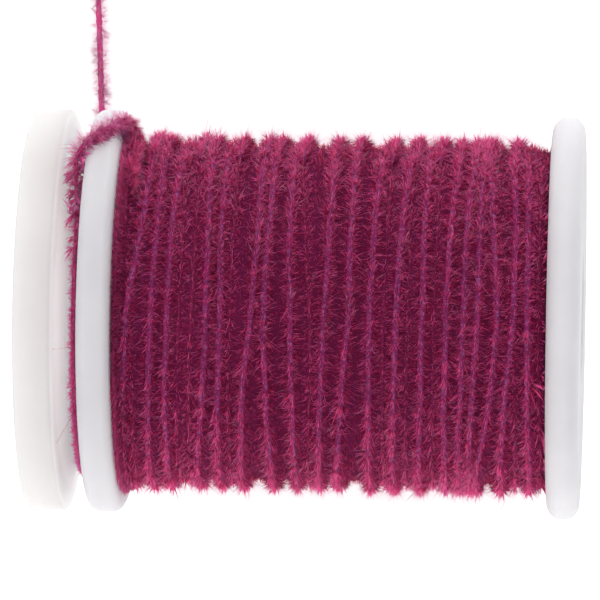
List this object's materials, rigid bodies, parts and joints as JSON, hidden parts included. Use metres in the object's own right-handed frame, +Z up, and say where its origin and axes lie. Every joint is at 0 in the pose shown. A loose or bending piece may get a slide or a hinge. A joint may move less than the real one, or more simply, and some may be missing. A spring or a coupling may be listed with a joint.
{
  "type": "chenille yarn on snap spool",
  "caption": "Fine chenille yarn wound on a small white plastic snap spool lying on its side, its end led over the inner disc and round the clamping groove.",
  "frame": {"origin": "on the surface the spool lies on, under the middle of its length", "axes": "+X along the spool's axis from the snap cap towards the far disc, +Y the way the loose end lies, +Z up"},
  "size_m": [0.0286, 0.0338, 0.0209],
  "materials": {
    "body_plastic": "satin moulded white, slightly cool",
    "cap_plastic": "satin moulded white, slightly warm and translucent",
    "chenille_pile": "deep magenta cut pile on a paler violet core"
  },
  "bodies": {
    "root": {"spool_body": "body_plastic", "spool_cap": "cap_plastic", "yarn_winding": "chenille_pile", "yarn_tail": "chenille_pile"}
  },
  "joints": []
}
